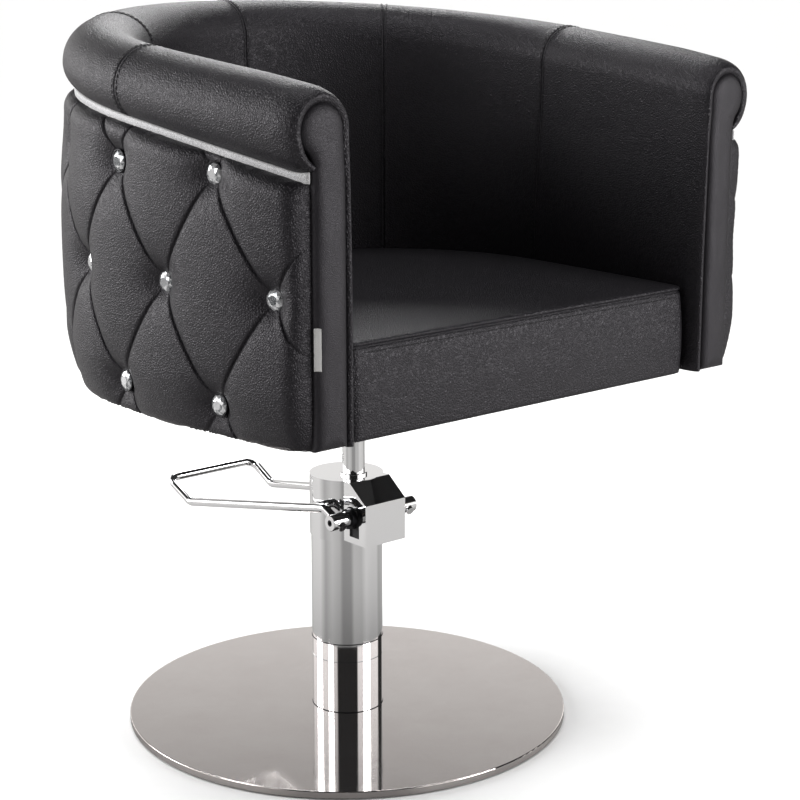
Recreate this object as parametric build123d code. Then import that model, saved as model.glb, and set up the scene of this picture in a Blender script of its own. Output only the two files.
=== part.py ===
"""Salon styling chair: padded tub seat on a foot-operated hydraulic pump and a round floor plate.

Millimetres.  +Z is up and the origin is the centre of the floor plate, on the floor.
The sitter faces -Y, so the pedal loop and the back of the tub are on the +Y side.
"""

import math
import os

from build123d import *

os.makedirs("parts", exist_ok=True)

RUNNING = 0.05                     # radial clearance of a running or located fit

# Floor plate and column
plate_radius = 275.0
pad_thickness = 2.0
plate_top = 10.0
column_radius = 44.45              # 88.9 mm standard tube
column_wall = 3.0
foot_top = 77.0
tube_top = 239.0
foot_screw_circle = 36.0
foot_screw_angles = (-40, 40, 140, 220)
foot_screw_radius = 5.0
foot_screw_depth = 22.0

# Pump
rod_y = -14.3                      # the piston rod stands forward of the column's axis
rod_radius = 14.0
cylinder_outer = 20.0
cylinder_bore = 16.0
cylinder_top = 238.9
piston_bottom = 100.0
piston_top = 120.0
rod_bottom = 122.0
rod_top = 454.0
cover_bottom = 235.0
cover_top = 312.0
cover_radius = 46.0
cover_wall = 1.8
cover_roof = 3.4
housing_half = 31.5                # half width of the square housing in front of the column
housing_front = -75.0
housing_bottom = 237.0
housing_slope_y = -44.7            # the sloping roof runs from here down to the front face
housing_slope_bottom = 289.0
bush_radius = 18.0

# Pedal
shaft_y = -48.4
shaft_z = 269.0
shaft_end = 65.7
shaft_radius = 10.0
journal_radius = 6.5
journal_half = 31.8
pedal_rod_radius = 5.5
pedal_hole_x = 54.0
pedal_entry_angle = 26.0           # the rod slopes down through the shaft towards the front
pedal_bar_x = 69.0
cam_reach = 13.0                   # from the shaft's axis to the centre of the cam's round nose
cam_nose_radius = 3.5

# Tub
tub_centre_y = -66.0               # the back of the tub is a half circle about this point
arm_front_y = -337.0
wall_start_y = -324.5              # walls and roll stop here, behind the arm fronts
tub_bottom = 456.5
front_bottom = 454.0
roll_radius = 44.0
roll_path_radius = 316.5
roll_path_front = 298.0
roll_front_z = 775.0
roll_slope = 0.100                 # rise of the roll towards the back, per unit of depth
piping_front_z = 732.0
piping_slope = 0.14
head_z = 776.5                     # centre of the round head of an arm front
head_x = 299.0
head_radius = 26.0
facing_inner = 269.5
facing_outer = 310.0
welt_inner = 255.5
welt_radius = 41.0
welt_gap = 0.3
facing_thickness = 6.0

# Layers of the tub: radius at the back and half width at the arm fronts of each face
pad_inside = (262.0, 255.0)
pad_outside = (324.0, 279.0)
frame_inside = (325.0, 280.0)
frame_outside = (341.0, 301.0)
panel_inside = (342.0, 302.0)
panel_outside = (355.0, 320.0)
piping_inside = (355.8, 320.8)
piping_outside = (358.8, 323.8)
cushion_outline = (259.5, 250.0)
board_outline = (259.0, 248.0)
cover_outline = (338.0, 299.0)
tub_height_limit = 900.0           # cutting solids reach above the whole tub
wall_below_roll = 14.0             # how far under the roll's path the walls stop

# Seat
board_bottom = 457.0
board_top = 472.0
board_front_y = -299.0
cushion_top = 556.0
cushion_front_y = -320.0
bracket_half = 110.0

# Buttons
button_pitch = 157.0
button_radius = 11.0
button_rows = ((727.0, 0.5), (610.0, 0.0), (490.0, 0.5))   # height, shift in pitches
buttons_each_side = 5


def half_width(radius, front_half, y):
    """Half width of a tub outline at depth y; front_half is its value at the arm fronts."""
    reach = (tub_centre_y - arm_front_y) / math.sqrt(1 - (front_half / radius) ** 2)
    return radius * math.sqrt(1 - ((tub_centre_y - y) / reach) ** 2)


def tub_edges(radius, front_half, start_y):
    """Open U of one bowed side, the half circle of the back and the other bowed side."""
    depths = [start_y + (tub_centre_y - start_y) * step / 4 for step in range(5)]
    side = [(half_width(radius, front_half, y), y) for y in depths]
    right = Spline(side, tangents=[(side[1][0] - side[0][0], side[1][1] - side[0][1]), (0, 1)])
    back = CenterArc((0, tub_centre_y), radius, 0, 180)
    return Curve() + [right, back, mirror(right, about=Plane.YZ)]


def tub_area(radius, front_half, start_y):
    """Face inside one U outline, closed by a straight front edge."""
    edges = tub_edges(radius, front_half, start_y)
    half = half_width(radius, front_half, start_y)
    return make_face(edges + Line((-half, start_y), (half, start_y)))


def tub_slab(radius, front_half, start_y, bottom, top):
    return extrude(Pos(0, 0, bottom) * tub_area(radius, front_half, start_y), top - bottom)


def upright(radius, bottom, top, x=0.0, y=0.0):
    """Vertical cylinder between two heights."""
    return Pos(x, y, (bottom + top) / 2) * Cylinder(radius, top - bottom)


def crosswise(radius, low_x, high_x, y=shaft_y, z=shaft_z):
    """Cylinder along X between two places."""
    return Pos((low_x + high_x) / 2, y, z) * Rot(0, 90, 0) * Cylinder(radius, high_x - low_x)


def block(low, high):
    """Box from its lowest to its highest corner."""
    size = [high[axis] - low[axis] for axis in range(3)]
    middle = [(high[axis] + low[axis]) / 2 for axis in range(3)]
    return Pos(*middle) * Box(*size)


def tilted_plane(front_z, slope):
    """Plane of a line that rises towards the back, with its origin over the tub's centre."""
    height = front_z + slope * (tub_centre_y - arm_front_y)
    return Plane(origin=(0, tub_centre_y, height), x_dir=(1, 0, 0), z_dir=(0, -slope, 1))


# ---- floor plate and column -------------------------------------------------------------------

def base_pad():
    return upright(plate_radius - 4, 0, pad_thickness)


def foot_screw_places():
    for angle in foot_screw_angles:
        turn = math.radians(angle)
        yield foot_screw_circle * math.cos(turn), foot_screw_circle * math.sin(turn)


def countersunk(radius, head, bottom, top, x, y):
    """Countersunk screw or hole: a cone at the bottom and a straight shank above it."""
    cone = Pos(x, y, bottom + (head - radius) / 2) * Cone(head, radius, head - radius)
    return cone + upright(radius, bottom + head - radius, top, x, y)


def base_plate():
    disc = upright(plate_radius, pad_thickness, plate_top)
    disc = fillet(disc.edges().group_by(Axis.Z)[-1], 1.2)
    for x, y in foot_screw_places():
        disc -= countersunk(foot_screw_radius + 0.5, 10.0, pad_thickness, plate_top, x, y)
    return disc


def base_screws():
    top = plate_top + foot_screw_depth - 3
    return [countersunk(foot_screw_radius, 9.2, pad_thickness + 0.3, top, x, y)
            for x, y in foot_screw_places()]


def column_foot():
    foot = upright(column_radius, plate_top, foot_top)
    foot = chamfer(foot.edges().group_by(Axis.Z)[-1], 0.6)
    foot += upright(column_radius - column_wall - RUNNING, foot_top, foot_top + 23)
    foot -= upright(cylinder_outer + RUNNING, plate_top, foot_top + 23, y=rod_y)
    for x, y in foot_screw_places():
        foot -= upright(foot_screw_radius + RUNNING, plate_top, plate_top + foot_screw_depth, x, y)
    return foot


def column_tube():
    tube = upright(column_radius, foot_top, tube_top)
    tube = chamfer(tube.edges().group_by(Axis.Z)[0], 0.6)
    return tube - upright(column_radius - column_wall, foot_top, tube_top)


# ---- pump -------------------------------------------------------------------------------------

def housing_profile(inset):
    """Side outline of the front housing in Y and Z, drawn inset by a wall thickness."""
    slope = (cover_top - housing_slope_bottom) / (housing_slope_y - housing_front)
    drop = inset * math.hypot(1, slope)
    front = housing_front + inset
    front_top = housing_slope_bottom + slope * inset - drop
    roof = cover_top - inset
    shoulder = front + (roof - front_top) / slope
    return [(0, housing_bottom + inset), (front, housing_bottom + inset), (front, front_top),
            (shoulder, roof), (0, roof)]


def housing_solid(inset):
    face = make_face(Plane.YZ * Polyline(*housing_profile(inset), close=True))
    return extrude(face, housing_half - inset, both=True)


def pump_cover():
    cover = upright(cover_radius, cover_bottom, cover_top) + housing_solid(0)
    cover -= upright(cover_radius - cover_wall + 0.3, cover_bottom, cover_top - cover_roof)
    inner = housing_solid(2.2)
    cover -= inner & block((-50, housing_front, cover_bottom), (50, 0, cover_top - cover_roof))
    cover -= upright(rod_radius + 1, cover_bottom, cover_top, y=rod_y)
    arch = crosswise(14.0, -50, 50) + block((-50, shaft_y - 14, 245), (50, shaft_y + 4, shaft_z))
    return cover - arch


def pump_head():
    """Cast block that fills the cover: guides the rod, bears the shaft, holds the pump's plunger."""
    gap = 0.3
    top = cover_top - cover_roof - gap
    head = upright(cover_radius - cover_wall - gap, tube_top, top)
    head += housing_solid(2.2 + gap) & block((-50, housing_front, tube_top + 1), (50, 0, top))
    head -= upright(bush_radius + RUNNING, tube_top, top, y=rod_y)
    head -= crosswise(journal_radius + RUNNING, -50, 50)
    head -= block((-9.5, housing_front, tube_top), (9.5, -33.5, cover_top))
    return head - crosswise(14.0, 24, 50) - crosswise(14.0, -50, -24)


def guide_bush():
    return upright(bush_radius, tube_top + 1, 308.0, y=rod_y) - rod_hole(tube_top + 1, 308.0)


def rod_hole(bottom, top):
    return upright(rod_radius + RUNNING, bottom, top, y=rod_y)


def wiper_ring():
    ring = upright(17.0, cover_top, cover_top + 3.5, y=rod_y)
    ring = fillet(ring.edges().group_by(Axis.Z)[-1], 1.2)
    return ring - rod_hole(cover_top, cover_top + 3.5)


def pump_cylinder():
    tube = upright(cylinder_outer, plate_top, cylinder_top, y=rod_y)
    return tube - upright(cylinder_bore, plate_top + 5, cylinder_top, y=rod_y)


def plunger_barrel():
    centre = shaft_y - cam_reach
    body = block((-9.3, centre - 6, 281.0), (9.3, centre + 8, 290.0))
    return body - upright(3.5 + RUNNING, 281.0, 290.0, y=centre)


def plunger():
    """Foot with a level slot for the cam's nose, and a stem that rises into the barrel."""
    centre = shaft_y - cam_reach
    slot_half = cam_nose_radius + 0.25
    foot = block((-7, centre - 7, shaft_z - slot_half - 3), (7, centre + 3, shaft_z + slot_half + 3))
    foot -= block((-8, centre - 5, shaft_z - slot_half), (8, centre + 4, shaft_z + slot_half))
    return foot + upright(3.5, shaft_z + slot_half + 2, 285.2, y=centre)


def release_valve():
    centre = shaft_y - cam_reach
    return upright(6.5, tube_top + 1, tube_top + 7, y=centre) + upright(4, tube_top + 7, 260.4, y=centre)


# ---- pedal ------------------------------------------------------------------------------------

def pedal_path():
    """Bent rod: through one shaft end, back past the column, up to the tread bar, and home again."""
    forward = math.cos(math.radians(pedal_entry_angle))
    upward = math.sin(math.radians(pedal_entry_angle))
    tail = (pedal_hole_x, shaft_y - 12.5 * forward, shaft_z - 12.5 * upward)
    bend = (pedal_hole_x, shaft_y + 26 * forward, shaft_z + 26 * upward)
    kink = (pedal_bar_x - 2, 243.0, 231.0)
    corner = (pedal_bar_x, 290.0, 254.0)
    side = [tail, bend, kink, corner]
    other = [(-x, y, z) for x, y, z in reversed(side)]
    return FilletPolyline(*side, *other, radius=14)


def pedal_loop():
    path = pedal_path()
    return sweep(Plane(path ^ 0) * Circle(pedal_rod_radius), path=path)


def pivot_shaft():
    shaft = crosswise(journal_radius, -journal_half, journal_half)
    for side in (-1, 1):
        low, high = sorted((side * journal_half, side * shaft_end))
        end = crosswise(shaft_radius, low, high)
        outer = end.faces().sort_by(Axis.X)[-1 if side > 0 else 0]
        shaft += chamfer(outer.edges(), 0.8)
        low, high = sorted((side * (shaft_end - 7), side * (shaft_end + 1)))
        shaft -= crosswise(4.0, low, high)
        shaft -= rod_through_shaft(side, pedal_rod_radius + RUNNING)
    return shaft


def rod_through_shaft(side, radius):
    """Straight stretch of the pedal rod where it crosses the shaft."""
    middle = Pos(side * pedal_hole_x, shaft_y, shaft_z)
    return middle * Rot(90 + pedal_entry_angle, 0, 0) * Cylinder(radius, 44)


def grub_screws():
    """Socket screws in the ends of the shaft that clamp the pedal rod."""
    screws = []
    for side in (-1, 1):
        low, high = sorted((side * (shaft_end - 5.8), side * (shaft_end - 0.6)))
        screw = crosswise(3.95, low, high)
        socket = Pos(side * (shaft_end - 0.6), shaft_y, shaft_z) * Rot(0, 90 * side, 0)
        screw -= socket * extrude(RegularPolygon(2.3, 6), -2.5)
        screws.append(screw)
    return screws


def shaft_collars():
    return [crosswise(12.5, low, low + 6.5) - crosswise(shaft_radius + RUNNING, -50, 50)
            for low in (-39.0, 32.5)]


def pump_cam():
    hub = crosswise(9.0, -6, 6)
    nose = crosswise(cam_nose_radius, -6, 6, y=shaft_y - cam_reach)
    arm = block((-6, shaft_y - cam_reach, shaft_z - 2), (6, shaft_y, shaft_z + 2))
    return hub + nose + arm - crosswise(journal_radius + RUNNING, -10, 10)


# ---- lift -------------------------------------------------------------------------------------

def piston_head():
    body = upright(cylinder_bore - RUNNING, piston_bottom, piston_top, y=rod_y)
    groove = upright(cylinder_bore, 107, 113, y=rod_y) - upright(12.5, 107, 113, y=rod_y)
    return body - groove + upright(5, piston_top, piston_top + 16, y=rod_y)


def piston_seal():
    return upright(cylinder_bore - 0.02, 107.2, 112.8, y=rod_y) - upright(12.6, 107.2, 112.8, y=rod_y)


def thrust_washer():
    return upright(13.5, piston_top, rod_bottom, y=rod_y) - upright(5.2, piston_top, rod_bottom, y=rod_y)


# ---- seat frame -------------------------------------------------------------------------------

def piston_rod():
    rod = upright(rod_radius, rod_bottom, rod_top, y=rod_y)
    return rod - upright(5 + RUNNING, rod_bottom, rod_bottom + 18, y=rod_y)


def seat_bracket():
    plate = block((-bracket_half, rod_y - bracket_half, 450), (bracket_half, rod_y + bracket_half, 456))
    plate = fillet(plate.edges().filter_by(Axis.Z), 15)
    bracket = plate + upright(27, 412, 450, y=rod_y)
    for turn in range(4):
        rib = Polyline((25, 414), (25, 451), (95, 451), (95, 447), close=True)
        web = extrude(make_face(Plane.XZ * rib), 3, both=True)
        bracket += Pos(0, rod_y, 0) * Rot(0, 0, 45 + 90 * turn) * web
    bracket -= rod_hole(412, 456)
    for x, y in bracket_bolt_places():
        bracket -= upright(4.3, 450, 456, x, y)
    for hole in clamp_screw_rods(4 + RUNNING, 20):
        bracket -= hole
    return bracket


def bracket_bolt_places():
    reach = bracket_half - 18
    return [(x, rod_y + y) for x in (-reach, reach) for y in (-reach, reach)]


def clamp_screw_rods(radius, length):
    """Two grub screws through the hub that grip the rod."""
    screw = Pos(rod_radius + 0.4 + length / 2, 0, 0) * Rot(0, 90, 0) * Cylinder(radius, length)
    return [Pos(0, rod_y, 430) * Rot(0, 0, turn) * screw for turn in (0, 90)]


def clamp_screws():
    return clamp_screw_rods(4.0, 11)


def seat_bolts():
    bolts = []
    for x, y in bracket_bolt_places():
        head = Pos(x, y, 444.5) * extrude(RegularPolygon(7.3, 6), 5.5)
        bolts.append(head + upright(4, 449.9, 469, x, y))
    return bolts


def seat_board():
    board = tub_slab(*board_outline, board_front_y, board_bottom, board_top)
    for x, y in bracket_bolt_places():
        board -= upright(4.1, board_bottom, board_top - 2, x, y)
    return board


def dust_cover():
    sheet = tub_slab(*cover_outline, board_front_y, 454.9, 455.9)
    half = bracket_half + 1
    return sheet - block((-half, rod_y - half, 454), (half, rod_y + half, 457))


# ---- upholstery -------------------------------------------------------------------------------

def roll_solid(radius):
    """Round roll along the top edge of the tub, rising towards the back."""
    plane = tilted_plane(roll_front_z, roll_slope)
    stretch = math.hypot(1, roll_slope)
    start = tub_centre_y + (wall_start_y - tub_centre_y) * stretch
    path = tub_edges(roll_path_radius, roll_path_front, start).wires()[0]
    path = plane * Pos(0, -tub_centre_y, 0) * path
    return sweep(Plane(path ^ 0) * Circle(radius), path=path)


def top_roll():
    return roll_solid(roll_radius)


def tub_wall(inside, outside):
    """One layer of the tub's wall, from the bottom edge up to the underside of the roll."""
    layer = tub_slab(*outside, wall_start_y, tub_bottom, tub_height_limit)
    layer -= tub_slab(*inside, wall_start_y - 40, tub_bottom, tub_height_limit)
    above = tilted_plane(roll_front_z - wall_below_roll, roll_slope) * Pos(0, 0, 200) * Box(1000, 1000, 400)
    return layer - above - roll_solid(roll_radius + 0.4)


def inner_pad():
    return tub_wall(pad_inside, pad_outside)


def shell_frame():
    return tub_wall(frame_inside, frame_outside)


def outer_panel():
    return tub_wall(panel_inside, panel_outside)


def front_slab(sketch):
    """Thin upright solid at the front of an arm, made from a sketch in X and Z."""
    return extrude(Plane.XZ.offset(-arm_front_y - facing_thickness) * sketch, facing_thickness)


def arm_outline(grow):
    head = Pos(head_x, head_z) * Circle(head_radius + grow)
    low, high = facing_inner - grow, facing_outer + grow
    strip = Pos((low + high) / 2, (tub_bottom + head_z) / 2) * Rectangle(high - low, head_z - tub_bottom)
    return head + strip


def arm_facing(side):
    facing = front_slab(arm_outline(0))
    return facing if side > 0 else mirror(facing, about=Plane.YZ)


def arm_welt(side):
    """Rolled edge around the inner side and the head of an arm front."""
    outer = Pos(head_x, head_z) * Circle(welt_radius)
    band_width = facing_inner + 4 - welt_inner
    band = Pos(welt_inner + band_width / 2, (tub_bottom + head_z) / 2) * Rectangle(
        band_width, head_z - tub_bottom)
    foot = Pos((facing_inner + facing_outer) / 2, tub_bottom) * Rectangle(
        facing_outer - facing_inner + 2 * welt_gap, 2)
    welt = front_slab(outer + band - arm_outline(welt_gap) - foot)
    return welt if side > 0 else mirror(welt, about=Plane.YZ)


def roll_piping():
    """Thin pale strip under the roll, around the outside of the tub."""
    plane = tilted_plane(piping_front_z, piping_slope)
    outer = tub_slab(*piping_outside, wall_start_y, tub_bottom, tub_height_limit)
    outer -= tub_slab(*piping_inside, wall_start_y - 40, tub_bottom, tub_height_limit)
    strip = outer & (plane * Box(1000, 1000, 8))
    return strip - roll_solid(roll_radius + 0.2)


def seat_cushion():
    """Box cushion on the board, with a front edge that hangs down over the board."""
    pad = tub_slab(*cushion_outline, cushion_front_y, board_top + 0.5, cushion_top)
    half = half_width(*cushion_outline, cushion_front_y)
    return pad + block((-half, cushion_front_y, front_bottom), (half, board_front_y - 1, board_top + 1))


def button_planes():
    """Places of the buttons on the outer panel, each plane facing straight out of the wall."""
    radius, front_half = panel_outside
    quarter = radius * math.pi / 2
    reach = (tub_centre_y - arm_front_y) / math.sqrt(1 - (front_half / radius) ** 2)
    for height, shift in button_rows:
        first = -buttons_each_side if shift == 0 else -buttons_each_side + shift
        count = 2 * buttons_each_side + (1 if shift == 0 else 0)
        for step in range(count):
            along = (first + step) * button_pitch
            side = math.copysign(1, along)
            beyond = max(0.0, abs(along) - quarter)
            turn = min(abs(along), quarter) / radius
            y = tub_centre_y + radius * math.cos(turn) - beyond
            x = side * (half_width(radius, front_half, y) if beyond else radius * math.sin(turn))
            depth_scale = (reach if beyond else radius) ** 2
            normal = (x / radius ** 2, (y - tub_centre_y) / depth_scale, 0)
            yield Plane(origin=(x, y, height), z_dir=normal)


def button_settings():
    ring = Pos(0, 0, 1.9) * Cylinder(button_radius + 0.8, 3.0)
    ring -= Pos(0, 0, 2.6) * Cylinder(button_radius - 0.8, 3.0)
    return [plane * ring for plane in button_planes()]


def crystal_buttons():
    gem = Pos(0, 0, 1.3) * extrude(RegularPolygon(button_radius - 1, 12), 2.2)
    gem += Pos(0, 0, 3.5) * extrude(RegularPolygon(button_radius - 1, 12), 3.4, taper=38)
    return [plane * gem for plane in button_planes()]


def side_tag():
    return block((-310.9, -334.5, 541), (-310.2, -324.8, 584))


# ---- write every piece ------------------------------------------------------------------------

pieces = {
    "base_pad": base_pad(),
    "base_plate": base_plate(),
    "base_screws": base_screws(),
    "column_foot": column_foot(),
    "column_tube": column_tube(),
    "pump_cover": pump_cover(),
    "pump_head": pump_head(),
    "pump_cylinder": pump_cylinder(),
    "guide_bush": guide_bush(),
    "wiper_ring": wiper_ring(),
    "plunger_barrel": plunger_barrel(),
    "release_valve": release_valve(),
    "plunger": plunger(),
    "pivot_shaft": pivot_shaft(),
    "pedal_loop": pedal_loop(),
    "grub_screws": grub_screws(),
    "shaft_collars": shaft_collars(),
    "pump_cam": pump_cam(),
    "piston_head": piston_head(),
    "piston_seal": piston_seal(),
    "thrust_washer": thrust_washer(),
    "piston_rod": piston_rod(),
    "seat_bracket": seat_bracket(),
    "clamp_screws": clamp_screws(),
    "seat_bolts": seat_bolts(),
    "seat_board": seat_board(),
    "dust_cover": dust_cover(),
    "shell_frame": shell_frame(),
    "seat_cushion": seat_cushion(),
    "inner_pad": inner_pad(),
    "outer_panel": outer_panel(),
    "top_roll": top_roll(),
    "arm_facing_left": arm_facing(-1),
    "arm_facing_right": arm_facing(1),
    "arm_welt_left": arm_welt(-1),
    "arm_welt_right": arm_welt(1),
    "roll_piping": roll_piping(),
    "button_settings": button_settings(),
    "crystal_buttons": crystal_buttons(),
    "side_tag": side_tag(),
}

for node, shape in pieces.items():
    if isinstance(shape, list):
        shape = Compound(children=shape)
    export_step(shape, f"parts/{node}.step")
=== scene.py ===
"""Looks of the salon styling chair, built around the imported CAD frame.  Metres, +Z up."""

import math
import random

import bmesh
import bpy
import numpy as np
from mathutils import Matrix, Vector


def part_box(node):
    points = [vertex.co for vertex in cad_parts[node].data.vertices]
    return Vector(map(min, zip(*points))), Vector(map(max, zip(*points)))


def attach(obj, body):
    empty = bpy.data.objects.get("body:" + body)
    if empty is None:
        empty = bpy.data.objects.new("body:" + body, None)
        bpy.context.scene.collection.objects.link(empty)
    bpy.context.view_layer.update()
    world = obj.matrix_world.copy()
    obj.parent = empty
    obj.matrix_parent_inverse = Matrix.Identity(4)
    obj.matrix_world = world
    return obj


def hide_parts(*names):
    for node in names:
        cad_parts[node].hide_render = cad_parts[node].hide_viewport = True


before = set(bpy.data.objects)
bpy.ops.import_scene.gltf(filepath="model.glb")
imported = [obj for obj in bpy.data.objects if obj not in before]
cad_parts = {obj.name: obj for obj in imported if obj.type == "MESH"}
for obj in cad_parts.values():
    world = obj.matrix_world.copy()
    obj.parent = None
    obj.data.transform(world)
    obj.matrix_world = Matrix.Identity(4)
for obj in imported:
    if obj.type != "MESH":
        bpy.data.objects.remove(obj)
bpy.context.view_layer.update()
random.seed(7)

# Plan of the tub, shared by every upholstered piece
TUB_CENTRE_Y = -0.066              # the back is a half circle about this point
FRONT_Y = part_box("arm_facing_left")[0].y
REFERENCE = 0.355                  # radius on which distances along the tub are measured
QUARTER = REFERENCE * math.pi / 2
SIDE_DEPTH = TUB_CENTRE_Y - FRONT_Y
END = QUARTER + SIDE_DEPTH         # distance from the middle of the back to an arm front

# Radius at the back and half width at the arm fronts of each outline
WALL_FOOT = (0.2620, 0.2560)
ROLL_PATH = (0.3165, 0.2985)
PIPING = (0.3455, 0.3125)
BUTTON_WALL = (0.3490, 0.3140)
CUSHION = (0.2600, 0.2540)
LINING = (0.3380, 0.2990)

# Heights
TUB_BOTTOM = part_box("outer_panel")[0].z
FRONT_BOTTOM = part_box("seat_cushion")[0].z
CUSHION_TOP = 0.5585
ROLL_FRONT_Z = 0.7765
ROLL_SLOPE = 0.098                 # rise of the roll's centre line toward the back
ROLL_INNER = (0.0425, 0.0055)      # half width towards the sitter, and how much wider it is at the back
ROLL_OUTER = (0.0425, 0.0015)      # the same away from the sitter
ROLL_HEIGHT = 0.0435
ROLL_SLIMMING = 0.0025             # the roll is this much slimmer at the arm fronts
WALL_BELLY = 0.0035                # swelling of the back's inner wall
WALL_STEPS = 46                    # points up the inner wall, and around the roll
ROLL_STEPS = 84
PIPING_HEIGHT = 0.0085
PIPING_FRONT_Z = 0.7235            # lower edge of the piping at the arm fronts
PIPING_RISE = 0.065                # and how much higher it runs at the back

# Arm fronts
HEAD_X = ROLL_PATH[1]
HEAD_RADIUS = 0.0272
LIP_DEPTH = 0.028                  # the leather starts to roll over this far behind the front
LIP_CREST = 0.0088
LIP_INSET = 0.0162
WALL_LIP = 0.80                    # the rolled edge is slimmer below the head
NECK_REACH = 0.0075                # how far outward of the roll's centre the rolled leather ends at the neck
NECK_Z = 0.741                     # where an arm panel's straight outer edge bends out into its head
FACING_EDGES = (0.2690, 0.3100)    # inner and outer edge of an arm panel in x
PANEL_SETBACK = 0.0075             # the tufted panel starts this far behind the arm fronts

# Tufting
PITCH = 0.157                      # along the wall, between buttons of one row
ROW_GAP = 0.1185
MIDDLE_ROW_Z = 0.609
PUFF = 0.0175                      # how far the padding stands out from the button level
PILLOW = 0.0035                    # extra crown in the middle of a diamond
BUTTON_RADIUS = 0.0120
BUTTON_FLAT = 0.0055               # radius of the flat spot under a button
DIMPLE_REACH = 0.0178              # how quickly the padding rises around a button
CREASE_DEPTH = 0.0021              # of the sharp fold in a pleat
CREASE_WIDTH = 0.0011
LAP = 0.0010                       # step between the two sides of a pleat
PLEAT_STEPS = 44
PANEL_TUCK = 0.024                 # leather folded in behind the top and bottom edges
FRONT_TUCK = 0.014                 # and behind the front edges

# Vertical seams of the inside and roll, as distances along the reference outline
SEAM_ANGLES = (1.0, 48.8, 88.5, 130.5, 180.0)
SEAM_PLACES = [REFERENCE * math.radians(90.0 - angle) for angle in SEAM_ANGLES]


# ---------------------------------------------------------------- plan and profile helpers

def half_width(y, radius, front_half):
    """Half width of an outline in front of the tub's centre, and the depth of the ellipse it lies on."""
    reach = SIDE_DEPTH / math.sqrt(1 - (front_half / radius) ** 2)
    return radius * np.sqrt(np.clip(1 - ((TUB_CENTRE_Y - y) / reach) ** 2, 0, 1)), reach


def outline(along, radius, front_half):
    """Points x, y and outward normals of a tub outline at signed distances from the middle of the back."""
    along = np.asarray(along, float)
    side = np.where(along < 0, -1.0, 1.0)
    turn = np.minimum(np.abs(along), QUARTER) / REFERENCE
    beyond = np.maximum(np.abs(along) - QUARTER, 0)
    y = TUB_CENTRE_Y + radius * np.cos(turn) - beyond
    wide, reach = half_width(np.minimum(y, TUB_CENTRE_Y), radius, front_half)
    x = np.where(beyond > 0, wide, radius * np.sin(turn))
    normal_x = np.where(beyond > 0, x / radius ** 2, np.sin(turn))
    normal_y = np.where(beyond > 0, (y - TUB_CENTRE_Y) / reach ** 2, np.cos(turn))
    length = np.hypot(normal_x, normal_y)
    return side * x, y, side * normal_x / length, normal_y / length


def roll_height(y):
    """Height of the roll's centre line."""
    return ROLL_FRONT_Z + ROLL_SLOPE * (y - FRONT_Y)


def piping_bottom(y):
    """Lower edge of the white piping: steep along the arms, nearly level around the back."""
    share = np.clip((y - FRONT_Y) / 0.56, 0, 1)
    curl = 0.0035 * np.clip(1 - (y - FRONT_Y) / 0.018, 0, 1) ** 2
    return PIPING_FRONT_Z + PIPING_RISE * (1 - (1 - share) ** 1.65) + curl


def smooth(low, high, value):
    """Smooth step from 0 at low to 1 at high."""
    share = np.clip((value - low) / (high - low), 0, 1)
    return share * share * (3 - 2 * share)


def spread(low, high, step, fine=(), fine_step=0.0007, fine_half=0.006):
    """Ordered stations from low to high, closer together around the fine places."""
    stations = list(np.linspace(low, high, max(2, round((high - low) / step) + 1)))
    for place in fine:
        stations = [s for s in stations if abs(s - place) > fine_half]
        stations += list(np.arange(place - fine_half, place + fine_half + 1e-9, fine_step))
    return np.array(sorted(stations))


# ---------------------------------------------------------------- mesh helpers

def new_object(name, vertices, faces, material, smooth_shading=True):
    """Mesh object in the scene, with one material."""
    mesh = bpy.data.meshes.new(name)
    mesh.from_pydata([tuple(v) for v in vertices], [], faces)
    mesh.validate()
    mesh.polygons.foreach_set("use_smooth", [smooth_shading] * len(mesh.polygons))
    mesh.materials.append(material)
    piece = bpy.data.objects.new(name, mesh)
    bpy.context.scene.collection.objects.link(piece)
    return piece


def grid_faces(rows, columns, close_rows=False, close_columns=False, flip=False):
    """Four-sided faces between the points of a grid, row by row."""
    faces = []
    for row in range(rows if close_rows else rows - 1):
        for column in range(columns if close_columns else columns - 1):
            a = row * columns + column
            b = row * columns + (column + 1) % columns
            c = ((row + 1) % rows) * columns + (column + 1) % columns
            d = ((row + 1) % rows) * columns + column
            faces.append((a, d, c, b) if flip else (a, b, c, d))
    return faces


def grid_object(name, points, material, flip=False, close_columns=False):
    """Sheet through an array of points with shape rows, columns, 3."""
    rows, columns = points.shape[:2]
    faces = grid_faces(rows, columns, close_columns=close_columns, flip=flip)
    return new_object(name, points.reshape(-1, 3), faces, material)


def close_ends(piece):
    """Fills the open borders of a mesh, then makes every normal point outward."""
    mesh = bmesh.new()
    mesh.from_mesh(piece.data)
    bmesh.ops.remove_doubles(mesh, verts=mesh.verts, dist=0.00002)
    border = [e for e in mesh.edges if e.is_boundary]
    if border:
        bmesh.ops.holes_fill(mesh, edges=border, sides=0)
    bmesh.ops.recalc_face_normals(mesh, faces=mesh.faces)
    mesh.to_mesh(piece.data)
    mesh.free()
    return piece


def tube(name, centres, sides, ups, half_side, half_up, material, ring=20, power=2.0):
    """Closed tube along centres; each section is a rounded shape in the plane of side and up."""
    turn = np.linspace(0, 2 * math.pi, ring, endpoint=False)
    across = np.sign(np.cos(turn)) * np.abs(np.cos(turn)) ** (2 / power)
    above = np.sign(np.sin(turn)) * np.abs(np.sin(turn)) ** (2 / power)
    half_side = np.broadcast_to(half_side, (len(centres), ring))
    half_up = np.broadcast_to(half_up, (len(centres), ring))
    points = (centres[:, None, :]
              + sides[:, None, :] * (across * half_side)[..., None]
              + ups[:, None, :] * (above * half_up)[..., None])
    return close_ends(grid_object(name, points, material, close_columns=True))


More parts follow.
